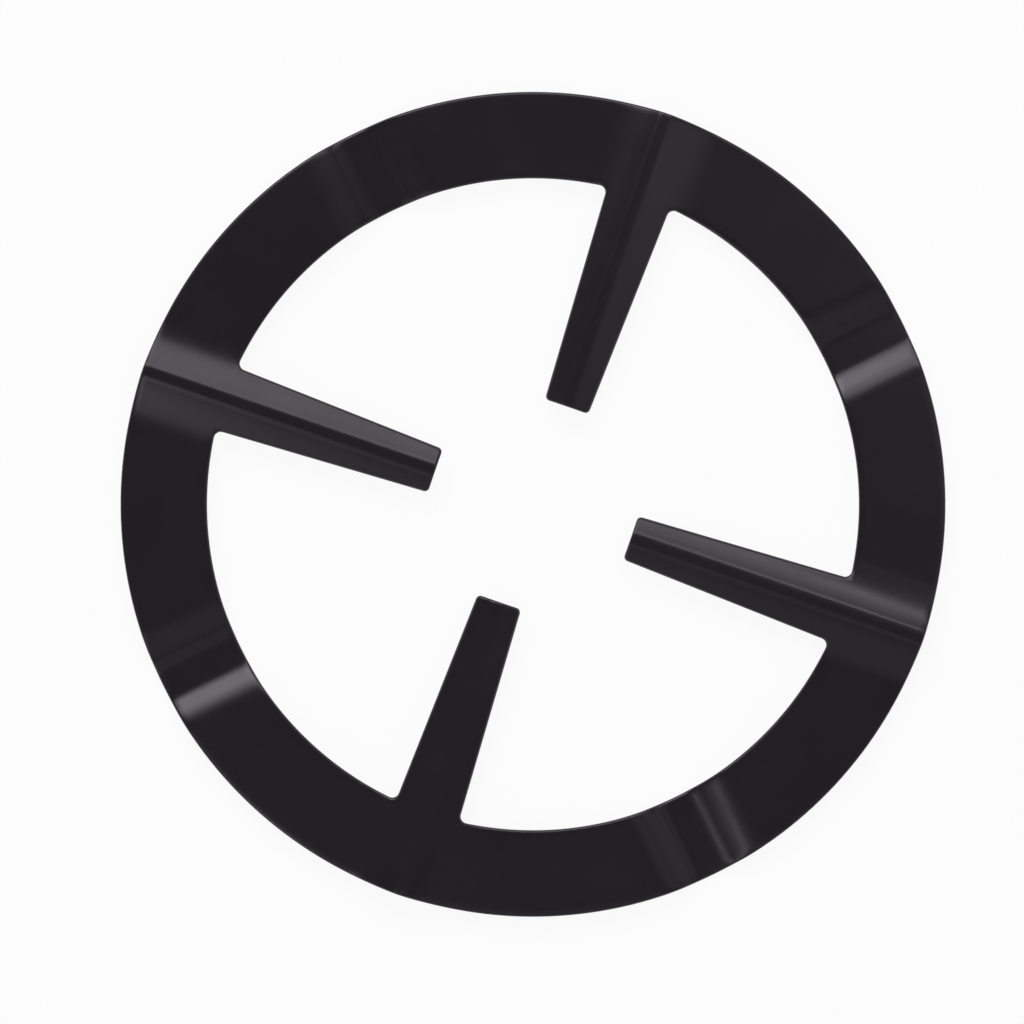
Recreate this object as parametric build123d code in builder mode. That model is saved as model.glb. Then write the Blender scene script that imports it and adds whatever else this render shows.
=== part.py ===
"""Stove reducer ring: one pressed and enamelled sheet that carries a small pot over a wide burner.

The sheet is a flat ring with tapered arms pointing at its centre. A ridge is pressed up along each
arm, from its tip to the rim, and a groove is pressed down across the ring midway between two arms.
The ring stands on the grooves and the pot stands on the ridges.

Frame: one arm lies along X, +Z is up, and the origin is on the hob, below the ring's centre.
"""

from math import atan2, degrees, radians, sin, tan
import os

from build123d import *

# Ring and arms, seen from above (mm)
outer_diameter = 140.0
ring_width = 14.7
arm_count = 4
arm_tip_width = 7.8
arm_root_width = 11.3
tip_opening = 35.0
tip_corner_radius = 0.8
root_corner_radius = 1.2

# Enamelled sheet (mm)
sheet_thickness = 1.2
edge_break = 0.35

# Ridge along each arm (mm): its whole width, the flat land that the pot stands on, its height above the
# level sheet and the inner radius of the bends beside the land
ridge_width = 19.6
ridge_land_width = 0.9
ridge_height = 2.2
ridge_crest_radius = 1.3

# Groove across the ring midway between two arms (mm), given in the same way, with a flat foot on the hob
groove_width = 19.6
groove_foot_width = 3.2
groove_depth = 2.0
groove_foot_radius = 6.0

outer_radius = outer_diameter / 2
inner_radius = outer_radius - ring_width
tip_radius = tip_opening / 2
ridge_top = groove_depth + ridge_height

# The cuts reach past both faces of the formed sheet
trim_height = ridge_top + 2 * sheet_thickness

# Each ridge and each groove takes an equal sector of the ring
arm_pitch = 360 / arm_count
half_sector = arm_pitch / 4
sector_length = outer_radius + sheet_thickness
sector_half_width = sector_length * tan(radians(half_sector))
section_reach = sector_half_width + sheet_thickness
sector_corners = [
    (0, 0),
    (sector_length, -sector_half_width),
    (sector_length, sector_half_width),
]

# Each flank is a reverse curve: two bends that meet at its steepest point and take up its whole width
ridge_flank = (ridge_width - ridge_land_width) / 2
ridge_slope = 2 * atan2(ridge_height, ridge_flank)
ridge_foot_bend = ridge_flank / sin(ridge_slope) - ridge_crest_radius

groove_flank = (groove_width - groove_foot_width) / 2
groove_slope = 2 * atan2(groove_depth, groove_flank)
groove_foot_bend = groove_foot_radius + sheet_thickness
groove_shoulder_bend = groove_flank / sin(groove_slope) - groove_foot_bend

# The arm's straight sides run on into the band, where the ring takes them over
arm_taper = (arm_root_width - arm_tip_width) / (inner_radius - tip_radius)
arm_end_radius = inner_radius + ring_width / 2
arm_end_width = arm_root_width + arm_taper * ring_width / 2
arm_corners = [
    (tip_radius, -arm_tip_width / 2),
    (arm_end_radius, -arm_end_width / 2),
    (arm_end_radius, arm_end_width / 2),
    (tip_radius, arm_tip_width / 2),
]

# One sector with its ridge, pressed straight along the arm
with BuildPart() as ridge_sector:
    with BuildSketch(Plane.YZ) as ridge_section:
        with BuildLine():
            land = Line((-ridge_land_width / 2, ridge_top), (ridge_land_width / 2, ridge_top))
            crest = JernArc(land @ 1, land % 1, ridge_crest_radius, -degrees(ridge_slope))
            foot = JernArc(crest @ 1, crest % 1, ridge_foot_bend, degrees(ridge_slope))
            level = Line(foot @ 1, (section_reach, groove_depth))
            mirror([crest, foot, level], about=Plane.YZ)
            offset(amount=sheet_thickness, side=Side.LEFT)
        make_face()
    extrude(amount=sector_length)
    with BuildSketch() as ridge_wedge:
        Polygon(*sector_corners, align=None)
    extrude(amount=trim_height, both=True, mode=Mode.INTERSECT)

# One sector with its groove, pressed straight along the radius
with BuildPart() as groove_sector:
    with BuildSketch(Plane.YZ) as groove_section:
        with BuildLine():
            land = Line((-groove_foot_width / 2, 0), (groove_foot_width / 2, 0))
            foot = JernArc(land @ 1, land % 1, groove_foot_bend, degrees(groove_slope))
            shoulder = JernArc(foot @ 1, foot % 1, groove_shoulder_bend, -degrees(groove_slope))
            level = Line(shoulder @ 1, (section_reach, groove_depth))
            mirror([foot, shoulder, level], about=Plane.YZ)
            offset(amount=sheet_thickness, side=Side.LEFT)
        make_face()
    extrude(amount=sector_length)
    with BuildSketch() as groove_wedge:
        Polygon(*sector_corners, align=None)
    extrude(amount=trim_height, both=True, mode=Mode.INTERSECT)

# The whole ring: sectors in turn, level where they meet, trimmed to the outline seen from above
with BuildPart() as reducer_ring:
    with PolarLocations(0, arm_count):
        add(ridge_sector.part)
    with PolarLocations(0, arm_count, start_angle=arm_pitch / 2):
        add(groove_sector.part)

    with BuildSketch() as outline:
        Circle(outer_radius)
        Circle(inner_radius, mode=Mode.SUBTRACT)
        with PolarLocations(0, arm_count):
            Polygon(*arm_corners, align=None)
        # Counted outwards from the centre, the tips' corners come first and the roots' corners second
        fillet(outline.vertices().group_by(SortBy.DISTANCE)[1], root_corner_radius)
        fillet(outline.vertices().group_by(SortBy.DISTANCE)[0], tip_corner_radius)
    extrude(amount=trim_height, both=True, mode=Mode.INTERSECT)

    # The cut edges are broken above and below, so that the enamel holds on them
    cut_walls = faces().filter_by(lambda face: abs(face.normal_at().Z) < 0.01)
    cut_edges = cut_walls.edges().filter_by(Axis.Z, reverse=True)
    chamfer(cut_edges, min(edge_break, sheet_thickness / 3))

reducer_ring.part.label = "reducer_ring"

os.makedirs("parts", exist_ok=True)
export_step(reducer_ring.part, "parts/reducer_ring.step")
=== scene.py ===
import math

import bmesh
import bpy
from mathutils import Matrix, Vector


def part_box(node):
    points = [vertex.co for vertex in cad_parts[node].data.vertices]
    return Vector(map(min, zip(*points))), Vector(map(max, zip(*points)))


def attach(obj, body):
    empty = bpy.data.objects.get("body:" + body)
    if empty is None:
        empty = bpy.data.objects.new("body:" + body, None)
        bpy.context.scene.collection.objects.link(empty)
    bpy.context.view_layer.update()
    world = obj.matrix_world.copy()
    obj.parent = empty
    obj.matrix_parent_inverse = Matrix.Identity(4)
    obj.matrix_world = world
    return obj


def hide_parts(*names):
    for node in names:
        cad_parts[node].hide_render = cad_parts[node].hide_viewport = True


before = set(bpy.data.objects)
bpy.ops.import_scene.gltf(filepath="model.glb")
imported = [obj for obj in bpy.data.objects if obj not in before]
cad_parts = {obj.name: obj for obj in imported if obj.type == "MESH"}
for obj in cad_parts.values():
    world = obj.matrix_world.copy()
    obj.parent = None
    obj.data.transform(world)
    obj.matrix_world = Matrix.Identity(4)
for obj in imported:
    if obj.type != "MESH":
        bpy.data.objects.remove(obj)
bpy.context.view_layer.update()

# The reducer ring: one blank of sheet steel, punched to a ring with tapered arms and pressed once.
# The press raises a ridge along each arm, from tip to rim, and sinks a groove midway between two arms.
# Vitreous enamel is fired over the whole sheet and draws the cut edges round.
MM = 0.001
SHEET = 1.2 * MM
EDGE_ROUND = 0.45 * MM
ARM_COUNT = 4
PITCH = math.tau / ARM_COUNT
HALF_SECTOR = PITCH / 4

RIM_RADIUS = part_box("reducer_ring")[1][0]
RING_WIDTH = 14.7 * MM
HOLE_RADIUS = RIM_RADIUS - RING_WIDTH
TIP_RADIUS = 17.5 * MM
TIP_WIDTH = 7.8 * MM
ROOT_WIDTH = 11.3 * MM
TIP_CORNER = 0.8 * MM
ROOT_CORNER = 1.2 * MM

RIDGE_WIDTH = 19.6 * MM
RIDGE_LAND = 0.9 * MM
RIDGE_HEIGHT = 2.2 * MM
RIDGE_CREST_BEND = 1.3 * MM
GROOVE_WIDTH = 19.6 * MM
GROOVE_FOOT = 3.2 * MM
GROOVE_DEPTH = 2.0 * MM
GROOVE_FOOT_BEND = 6.0 * MM


class Fold:
    """One face of a fold: a flat, a flank of two bends that meet at its steepest, and level sheet."""

    def __init__(self, width, flat_width, rise, flat_bend):
        reach = (width - flat_width) / 2
        slope = 2 * math.atan(rise / reach)
        self.rise = rise
        self.flat_bend = flat_bend
        self.level_bend = reach / math.sin(slope) - flat_bend
        self.flat_end = flat_width / 2
        self.steepest = self.flat_end + flat_bend * math.sin(slope)
        self.level_start = width / 2

    def lift(self, offset):
        """How far the face stands off the level sheet at this distance from the fold's middle."""
        if offset >= self.level_start:
            return 0.0
        if offset > self.steepest:
            inward = self.level_start - offset
            return self.level_bend - math.sqrt(self.level_bend**2 - inward**2)
        if offset > self.flat_end:
            beyond = offset - self.flat_end
            return self.rise - self.flat_bend + math.sqrt(self.flat_bend**2 - beyond**2)
        return self.rise


ridge_top = Fold(RIDGE_WIDTH, RIDGE_LAND, RIDGE_HEIGHT, RIDGE_CREST_BEND + SHEET)
ridge_under = Fold(RIDGE_WIDTH, RIDGE_LAND, RIDGE_HEIGHT, RIDGE_CREST_BEND)
groove_top = Fold(GROOVE_WIDTH, GROOVE_FOOT, GROOVE_DEPTH, GROOVE_FOOT_BEND)
groove_under = Fold(GROOVE_WIDTH, GROOVE_FOOT, GROOVE_DEPTH, GROOVE_FOOT_BEND + SHEET)


def sheet_faces(x, y):
    """Height of the sheet's upper face and of its underside at a place in plan."""
    turn = round(math.atan2(y, x) / (PITCH / 2))
    axis = turn * PITCH / 2
    offset = abs(y * math.cos(axis) - x * math.sin(axis))
    if turn % 2 == 0:
        return GROOVE_DEPTH + SHEET + ridge_top.lift(offset), GROOVE_DEPTH + ridge_under.lift(offset)
    return GROOVE_DEPTH + SHEET - groove_top.lift(offset), GROOVE_DEPTH - groove_under.lift(offset)


def steps(start, end, count):
    """Even steps from start, which is left out, to end."""
    return [start + (end - start) * step / count for step in range(1, count + 1)]


# The flat of the sheet is laid out in plan, inside the rounding of its edges
flat_rim = RIM_RADIUS - EDGE_ROUND
flat_hole = HOLE_RADIUS + EDGE_ROUND
flat_tip = TIP_RADIUS + EDGE_ROUND
taper = (ROOT_WIDTH - TIP_WIDTH) / 2 / (HOLE_RADIUS - TIP_RADIUS)
lean = math.atan(taper)


def arm_half_width(x):
    """Half of the arm's flat width at a distance from the ring's centre."""
    return TIP_WIDTH / 2 + taper * (x - TIP_RADIUS) - EDGE_ROUND / math.cos(lean)


# Root corner: a round in the open quarter that touches the arm's side and the ring's inside edge
root_round = ROOT_CORNER + EDGE_ROUND
round_radius = flat_hole - root_round
side_gap = arm_half_width(0) * math.cos(lean) + root_round
round_angle = lean + math.asin(side_gap / round_radius)
round_centre = Vector((round_radius * math.cos(round_angle), round_radius * math.sin(round_angle)))
ring_touch = Vector((flat_hole * math.cos(round_angle), flat_hole * math.sin(round_angle)))
arm_touch = round_centre + root_round * Vector((math.sin(lean), -math.cos(lean)))
corner_angle = lean + math.asin(arm_half_width(0) * math.cos(lean) / flat_hole)
corner = Vector((flat_hole * math.cos(corner_angle), flat_hole * math.sin(corner_angle)))
ROUND_STEPS = 8

# Lines across the ring, counted from a fold's middle: straight along the fold, then fanning out level
LAND_STEPS = 2
CREST_STEPS = 8
FLANK_STEPS = 12
RUN_OUT_STEPS = 8
land_lines = [0.0] + steps(0, ridge_top.flat_end, LAND_STEPS)
land_lines += steps(ridge_top.flat_end, ridge_top.steepest, CREST_STEPS)
flank_lines = steps(ridge_top.steepest, corner.y, FLANK_STEPS)
root_lines = steps(corner.y, ring_touch.y, ROUND_STEPS)
run_out_end = max(ridge_top.level_start, ring_touch.y + MM)
run_out_lines = steps(ring_touch.y, run_out_end, RUN_OUT_STEPS)
ridge_lines = land_lines + flank_lines + root_lines + run_out_lines

FOOT_STEPS = 3
FOOT_BEND_STEPS = 10
SHOULDER_STEPS = 16
groove_lines = [0.0] + steps(0, groove_top.flat_end, FOOT_STEPS)
groove_lines += steps(groove_top.flat_end, groove_top.steepest, FOOT_BEND_STEPS)
groove_lines += steps(groove_top.steepest, groove_top.level_start, SHOULDER_STEPS)
FAN_STEPS = 10


def fold_angles(lines, radius):
    """Angles of a fold's lines from its middle at one radius, out to the edge of its sector."""
    along = [math.asin(offset / radius) for offset in lines]
    return along + steps(along[-1], HALF_SECTOR, FAN_STEPS)


def pitch_angles(radius):
    """Angles of all lines from one arm's middle round to the next arm's, which is left out."""
    ridge = fold_angles(ridge_lines, radius)
    groove = fold_angles(groove_lines, radius)
    first_half = ridge + [PITCH / 2 - angle for angle in reversed(groove[:-1])]
    return first_half + [PITCH - angle for angle in reversed(first_half[1:-1])]


plan = bmesh.new()


def lay_patch(rows):
    """Joins rows of plan points with faces."""
    verts = [[plan.verts.new((point[0], point[1], 0)) for point in row] for row in rows]
    for lower, upper in zip(verts, verts[1:]):
        for left in range(len(lower) - 1):
            plan.faces.new((lower[left], lower[left + 1], upper[left + 1], upper[left]))


BAND_STEPS = 16
band_radii = [flat_hole] + steps(flat_hole, flat_rim, BAND_STEPS)
band_rows = []
for radius in band_radii:
    angles = [turn * PITCH + angle for turn in range(ARM_COUNT) for angle in pitch_angles(radius)]
    angles.append(math.tau)
    band_rows.append([(radius * math.cos(angle), radius * math.sin(angle)) for angle in angles])
lay_patch(band_rows)

# Each arm's lines run on from the ring's and close up with its taper
TIP_STEPS = 6
ARM_STEPS = 36
tip_round = TIP_CORNER - EDGE_ROUND
tip_turns = [step * math.pi / 2 / TIP_STEPS for step in range(TIP_STEPS + 1)]
tip_rows = [flat_tip + tip_round * (1 - math.cos(angle)) for angle in tip_turns]
arm_rows = tip_rows + steps(tip_rows[-1], arm_touch.x, ARM_STEPS)
arm_rows += steps(arm_touch.x, corner.x, ROUND_STEPS)
ROW_BEND = 4
arm_lines = land_lines + flank_lines
for turn in range(ARM_COUNT):
    along = Vector((math.cos(turn * PITCH), math.sin(turn * PITCH)))
    across = Vector((-along.y, along.x))
    rows = []
    for reach in arm_rows:
        half_width = arm_half_width(reach)
        cut = max(0.0, flat_tip + tip_round - reach)
        half_width -= tip_round - math.sqrt(max(0.0, tip_round**2 - cut**2))
        spread = (half_width - land_lines[-1]) / (corner.y - land_lines[-1])
        row = []
        for offset in arm_lines:
            side = offset
            if offset > land_lines[-1]:
                side = land_lines[-1] + (offset - land_lines[-1]) * spread
            # Towards the root, the rows bend until the last one lies on the ring's inside edge
            line_end = math.sqrt(flat_hole**2 - offset**2)
            way_out = (reach - flat_tip) / (corner.x - flat_tip)
            row.append((reach + way_out**ROW_BEND * (line_end - corner.x), side))
        other_half = [(place, -side) for place, side in reversed(row[1:])]
        rows.append([along * place + across * side for place, side in other_half + row])
    lay_patch(rows)
    # The root corners fill the notch between the arm's side and the ring's inside edge
    for hand in (1, -1):
        notch = [(place, arm_half_width(place)) for place in [arm_touch.x] + arm_rows[-ROUND_STEPS:]]
        ring_side = [(math.sqrt(flat_hole**2 - offset**2), offset) for offset in root_lines]
        notch += ring_side
        start = math.atan2(arm_touch.y - round_centre.y, arm_touch.x - round_centre.x)
        end = math.atan2(ring_touch.y - round_centre.y, ring_touch.x - round_centre.x)
        sweep = [start] + steps(start, end, len(notch) - 1)
        curve = [round_centre + root_round * Vector((math.cos(a), math.sin(a))) for a in sweep]
        notch_row = [along * place + across * side * hand for place, side in notch]
        curve_row = [along * point.x + across * point.y * hand for point in curve]
        lay_patch([curve_row, notch_row])

WELD = 0.002 * MM
bmesh.ops.remove_doubles(plan, verts=plan.verts, dist=WELD)
bmesh.ops.dissolve_degenerate(plan, edges=plan.edges, dist=WELD)
plan.verts.index_update()
flat_points = [(vert.co.x, vert.co.y) for vert in plan.verts]
flat_faces = [[vert.index for vert in face.verts] for face in plan.faces]

# Outward directions along the plan's edges, from the two edges that meet at each point
outward = {}
edge_pairs = []
for edge in plan.edges:
    if not edge.is_boundary:
        continue
    first, second = edge.verts
    run = second.co - first.co
    normal = Vector((run.y, -run.x, 0)).normalized()
    if normal.dot(edge.link_faces[0].calc_center_median() - first.co) > 0:
        normal = -normal
    for vert in edge.verts:
        outward[vert.index] = outward.get(vert.index, Vector((0, 0, 0))) + normal
    edge_pairs.append((first.index, second.index))
plan.free()
for index in outward:
    outward[index].normalize()

# The skin: the plan lifted to both faces of the sheet, with a round edge between them
skin = bmesh.new()
upper = []
lower = []
for x, y in flat_points:
    top, bottom = sheet_faces(x, y)
    upper.append(skin.verts.new((x, y, top)))
    lower.append(skin.verts.new((x, y, bottom)))
for face in flat_faces:
    skin.faces.new([upper[index] for index in face])
    skin.faces.new([lower[index] for index in reversed(face)])

ROUND_CUTS = 5
edge_turns = [step * math.pi / 2 / ROUND_CUTS for step in range(1, ROUND_CUTS + 1)]
edge_loops = {}
for index, direction in outward.items():
    x, y = flat_points[index]
    loop = [upper[index]]
    for angle in edge_turns:
        reach = EDGE_ROUND * math.sin(angle)
        place = (x + direction.x * reach, y + direction.y * reach)
        drop = EDGE_ROUND * (1 - math.cos(angle))
        loop.append(skin.verts.new((*place, sheet_faces(*place)[0] - drop)))
    for angle in reversed(edge_turns):
        reach = EDGE_ROUND * math.sin(angle)
        place = (x + direction.x * reach, y + direction.y * reach)
        rise = EDGE_ROUND * (1 - math.cos(angle))
        loop.append(skin.verts.new((*place, sheet_faces(*place)[1] + rise)))
    loop.append(lower[index])
    edge_loops[index] = loop
for first, second in edge_pairs:
    for level in range(len(edge_turns) * 2 + 1):
        near, far = edge_loops[first], edge_loops[second]
        skin.faces.new((near[level], far[level], far[level + 1], near[level + 1]))
bmesh.ops.recalc_face_normals(skin, faces=skin.faces)

ring_mesh = bpy.data.meshes.new("enamelled_ring")
skin.to_mesh(ring_mesh)
skin.free()
ring_mesh.shade_smooth()
ring = bpy.data.objects.new("enamelled_ring", ring_mesh)
bpy.context.scene.collection.objects.link(ring)

# The ring's finish: black vitreous enamel, fired until it flows, so it is smooth with a soft gloss.
# It keeps a faint ripple like orange peel, and its gloss varies a little from place to place.
enamel = bpy.data.materials.new("black_enamel")
enamel.use_nodes = True
nodes = enamel.node_tree.nodes
links = enamel.node_tree.links
gloss = nodes["Principled BSDF"]
ENAMEL_GLASS = 1.5
gloss.inputs["IOR"].default_value = ENAMEL_GLASS
enamel_place = nodes.new("ShaderNodeTexCoord")


def enamel_noise(size, detail):
    """Noise in the enamel whose marks are about this size, in metres."""
    noise = nodes.new("ShaderNodeTexNoise")
    noise.inputs["Scale"].default_value = 1 / size
    noise.inputs["Detail"].default_value = detail
    links.new(enamel_place.outputs["Object"], noise.inputs["Vector"])
    return noise.outputs["Fac"]


NOISE_LOW = 0.3
NOISE_HIGH = 0.7


def enamel_range(source, low, high):
    """Spreads a noise over a range of values."""
    spread = nodes.new("ShaderNodeMapRange")
    spread.inputs["From Min"].default_value = NOISE_LOW
    spread.inputs["From Max"].default_value = NOISE_HIGH
    spread.inputs["To Min"].default_value = low
    spread.inputs["To Max"].default_value = high
    links.new(source, spread.inputs["Value"])
    return spread.outputs["Result"]


BLACK = (0.0062, 0.0042, 0.0068, 1)
WARM_BLACK = (0.0088, 0.0062, 0.0090, 1)
depth = nodes.new("ShaderNodeMix")
depth.data_type = "RGBA"
depth.inputs["A"].default_value = BLACK
depth.inputs["B"].default_value = WARM_BLACK
WARM_PATCH = 9 * MM
links.new(enamel_range(enamel_noise(WARM_PATCH, 3), 0, 1), depth.inputs["Factor"])
links.new(depth.outputs["Result"], gloss.inputs["Base Color"])

GLOSS_PATCH = 14 * MM
GLOSSIEST = 0.21
DULLEST = 0.27
links.new(enamel_range(enamel_noise(GLOSS_PATCH, 4), GLOSSIEST, DULLEST), gloss.inputs["Roughness"])

RIPPLE_SIZE = 1.1 * MM
RIPPLE_HEIGHT = 0.01 * MM
RIPPLE_STRENGTH = 0.35
ripple = nodes.new("ShaderNodeBump")
ripple.inputs["Strength"].default_value = RIPPLE_STRENGTH
ripple.inputs["Distance"].default_value = RIPPLE_HEIGHT
links.new(enamel_noise(RIPPLE_SIZE, 2), ripple.inputs["Height"])
links.new(ripple.outputs["Normal"], gloss.inputs["Normal"])
ring_mesh.materials.append(enamel)

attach(ring, "root")
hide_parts("reducer_ring")

# The table under the ring: a wide plain white surface, lit evenly, that keeps the ring's soft shadow.
# What the camera and the gloss see of it is mostly its own white, so that it stays pale to its edges.
TABLE_SIZE = 6.0
TABLE_WHITE = (0.95, 0.95, 0.95, 1)
OWN_WHITE = 0.92
bpy.ops.mesh.primitive_plane_add(size=TABLE_SIZE, location=(0, 0, 0))
table = bpy.context.object
table.name = "table"
paper = bpy.data.materials.new("white_table")
paper.use_nodes = True
table_nodes = paper.node_tree.nodes
table_links = paper.node_tree.links
table_nodes.clear()
lit_white = table_nodes.new("ShaderNodeBsdfDiffuse")
lit_white.inputs["Color"].default_value = TABLE_WHITE
own_white = table_nodes.new("ShaderNodeEmission")
own_white.inputs["Color"].default_value = (1, 1, 1, 1)
own_white.inputs["Strength"].default_value = 1.0
ray = table_nodes.new("ShaderNodeLightPath")
in_gloss = table_nodes.new("ShaderNodeMath")
in_gloss.operation = "MAXIMUM"
table_links.new(ray.outputs["Is Glossy Ray"], in_gloss.inputs[0])
table_links.new(ray.outputs["Is Transmission Ray"], in_gloss.inputs[1])
seen = table_nodes.new("ShaderNodeMath")
seen.operation = "MAXIMUM"
table_links.new(ray.outputs["Is Camera Ray"], seen.inputs[0])
table_links.new(in_gloss.outputs[0], seen.inputs[1])
own_share = table_nodes.new("ShaderNodeMath")
own_share.operation = "MULTIPLY"
own_share.inputs[1].default_value = OWN_WHITE
table_links.new(seen.outputs[0], own_share.inputs[0])
blend = table_nodes.new("ShaderNodeMixShader")
table_links.new(own_share.outputs[0], blend.inputs[0])
table_links.new(lit_white.outputs[0], blend.inputs[1])
table_links.new(own_white.outputs[0], blend.inputs[2])
surface = table_nodes.new("ShaderNodeOutputMaterial")
table_links.new(blend.outputs[0], surface.inputs["Surface"])
table.data.materials.append(paper)

# The camera hangs straight over the ring on a long lens, turned so that the arms lean as in the picture.
PICTURE_SIDE = 1024
RING_CENTRE_PIXEL = (533.0, 504.3)
RING_RADIUS_PIXELS = 412.7
PICTURE_TURN = math.radians(19)
LENS = 240
SENSOR = 36
pixel = RIM_RADIUS / RING_RADIUS_PIXELS
right = Vector((math.cos(PICTURE_TURN), math.sin(PICTURE_TURN), 0))
up = Vector((-right.y, right.x, 0))
camera_data = bpy.data.cameras.new("camera")
camera_data.lens = LENS
camera_data.sensor_width = SENSOR
camera = bpy.data.objects.new("camera", camera_data)
bpy.context.scene.collection.objects.link(camera)
sideways = (PICTURE_SIDE / 2 - RING_CENTRE_PIXEL[0]) * pixel
upwards = (RING_CENTRE_PIXEL[1] - PICTURE_SIDE / 2) * pixel
rim_height = GROOVE_DEPTH + SHEET
camera_height = rim_height + PICTURE_SIDE * pixel * LENS / SENSOR
camera.location = right * sideways + up * upwards + Vector((0, 0, camera_height))
camera.rotation_euler = (0, 0, PICTURE_TURN)
bpy.context.scene.camera = camera

# The studio: a room with a dim grey ceiling and bright walls, and soft boxes standing round the ring.
# The main box stands beyond the picture's top edge, with a narrow one on each side of its middle.
# Weaker ones stand at the right and below, for the flanks that face away from the main box.
CEILING = 0.21
WALLS = 1.0
CEILING_EDGE = 62
WALL_TOP = 75
room = bpy.data.worlds.new("room")
bpy.context.scene.world = room
room.use_nodes = True
room_nodes = room.node_tree.nodes
room_links = room.node_tree.links
room_light = room_nodes["Background"]
room_light.inputs["Color"].default_value = (1, 1, 1, 1)
direction = room_nodes.new("ShaderNodeTexCoord")
upwardness = room_nodes.new("ShaderNodeSeparateXYZ")
room_links.new(direction.outputs["Generated"], upwardness.inputs[0])
wall_light = room_nodes.new("ShaderNodeMapRange")
wall_light.interpolation_type = "SMOOTHSTEP"
wall_light.inputs["From Min"].default_value = math.cos(math.radians(WALL_TOP))
wall_light.inputs["From Max"].default_value = math.cos(math.radians(CEILING_EDGE))
wall_light.inputs["To Min"].default_value = WALLS
wall_light.inputs["To Max"].default_value = CEILING
room_links.new(upwardness.outputs["Z"], wall_light.inputs["Value"])
room_links.new(wall_light.outputs["Result"], room_light.inputs["Strength"])

LAMP_TINT = (0.97, 0.93, 1.0)


def soft_box(name, bearing, lean_back, distance, width, height, brightness, swing=0):
    """A soft box facing the ring, at a bearing in the picture and a lean off the vertical, in degrees."""
    turn = PICTURE_TURN + math.radians(bearing)
    tilt = math.radians(lean_back)
    lamp = bpy.data.lights.new(name, "AREA")
    lamp.shape = "ELLIPSE"
    lamp.size = width
    lamp.size_y = height
    lamp.energy = brightness * math.pi * width * height * math.pi / 4
    lamp.color = LAMP_TINT
    box = bpy.data.objects.new(name, lamp)
    bpy.context.scene.collection.objects.link(box)
    aim = Vector((math.sin(tilt) * math.cos(turn), math.sin(tilt) * math.sin(turn), math.cos(tilt)))
    box.location = aim * distance
    box.rotation_euler = aim.to_track_quat("Z", "Y").to_euler()
    box.rotation_euler.rotate_axis("Z", math.radians(swing))
    return box


soft_box("main_box", 102, 43.5, 1.4, 1.46, 0.9, 2.37, swing=4)
soft_box("left_box", 117, 49.5, 1.24, 0.3, 0.56, 3.1, swing=-3)
soft_box("right_box", 60, 37, 0.74, 0.065, 0.5, 3.5, swing=-42)
soft_box("side_box", -7, 38, 0.51, 0.095, 0.77, 0.35, swing=-16)
soft_box("near_box", 12, 42, 0.32, 0.07, 0.28, 0.44, swing=-29)
soft_box("lower_box", 231, 42.5, 0.67, 0.052, 0.62, 2.75, swing=11)
soft_box("low_box", 262, 31.5, 0.71, 1.21, 0.5, 0.24, swing=-3)

bpy.context.scene.view_settings.view_transform = "Standard"
